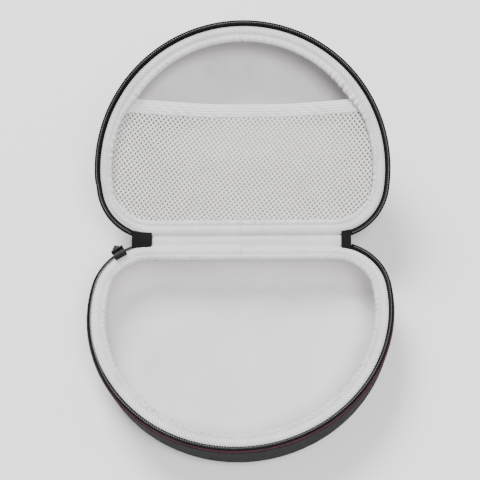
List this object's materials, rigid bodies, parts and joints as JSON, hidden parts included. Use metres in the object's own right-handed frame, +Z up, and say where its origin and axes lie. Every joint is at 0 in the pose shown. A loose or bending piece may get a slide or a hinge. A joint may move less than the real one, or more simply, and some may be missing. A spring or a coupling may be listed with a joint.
{
  "type": "headphone carrying case",
  "caption": "Open hard-shell zipped carrying case for folded headphones, with a cloth hinge and a mesh pocket in the lid.",
  "frame": {"origin": "on the flat bottom of the base, under the centre of the front arc", "axes": "+X to the right, +Y from the front towards the hinge, +Z up out of the base"},
  "size_m": [0.2114, 0.3017, 0.1255],
  "materials": {
    "cover_fabric": "black woven fabric over moulded foam",
    "foam": "closed-cell foam",
    "lining_fabric": "light grey brushed lining",
    "binding_fabric": "light grey padded edge binding",
    "piping_fabric": "dark red corded piping",
    "zipper_tape": "black woven tape",
    "zipper_coil": "black nylon coil",
    "black_fabric": "black woven cloth",
    "hinge_cloth": "light grey woven cloth",
    "mesh": "off-white knitted net",
    "elastic": "off-white ribbed elastic",
    "slider_metal": "black lacquered metal",
    "grip_rubber": "moulded black rubber"
  },
  "bodies": {
    "base": {"base_cover": "cover_fabric", "base_foam_shell": "foam", "base_lining": "lining_fabric", "base_rim_binding": "binding_fabric", "base_piping": "piping_fabric", "base_zipper_tape": "zipper_tape", "base_zipper_coil": "zipper_coil", "base_outer_hinge_cloth": "black_fabric", "base_inner_hinge_cloth": "hinge_cloth", "base_left_end_tab": "black_fabric", "base_right_end_tab": "black_fabric"},
    "lid": {"lid_cover": "cover_fabric", "lid_foam_shell": "foam", "lid_lining": "lining_fabric", "lid_rim_binding": "binding_fabric", "lid_piping": "piping_fabric", "lid_zipper_tape": "zipper_tape", "lid_zipper_coil": "zipper_coil", "lid_outer_hinge_cloth": "black_fabric", "lid_inner_hinge_cloth": "hinge_cloth", "lid_left_end_tab": "black_fabric", "lid_right_end_tab": "black_fabric", "pocket_mesh": "mesh", "pocket_elastic_band": "elastic"},
    "slider": {"zipper_slider": "slider_metal"},
    "pull": {"zipper_pull": "slider_metal", "pull_grip": "grip_rubber"}
  },
  "joints": [
    {"name": "lid_hinge", "type": "hinge", "parent": "base", "child": "lid", "pos_m": [0, 0.0503, 0.044], "axis": [1, 0, 0], "range_deg": [-32, 148]},
    {"name": "slider_travel", "type": "hinge", "parent": "base", "child": "slider", "pos_m": [-0.06473, 0.01, 0.044], "axis": [0, 0, 1], "range_deg": [0, 40]},
    {"name": "pull_swing", "type": "hinge", "parent": "slider", "child": "pull", "pos_m": [-0.08936, 0.0439, 0.044], "axis": [0.809, 0.5878, 0], "range_deg": [0, 150]}
  ]
}
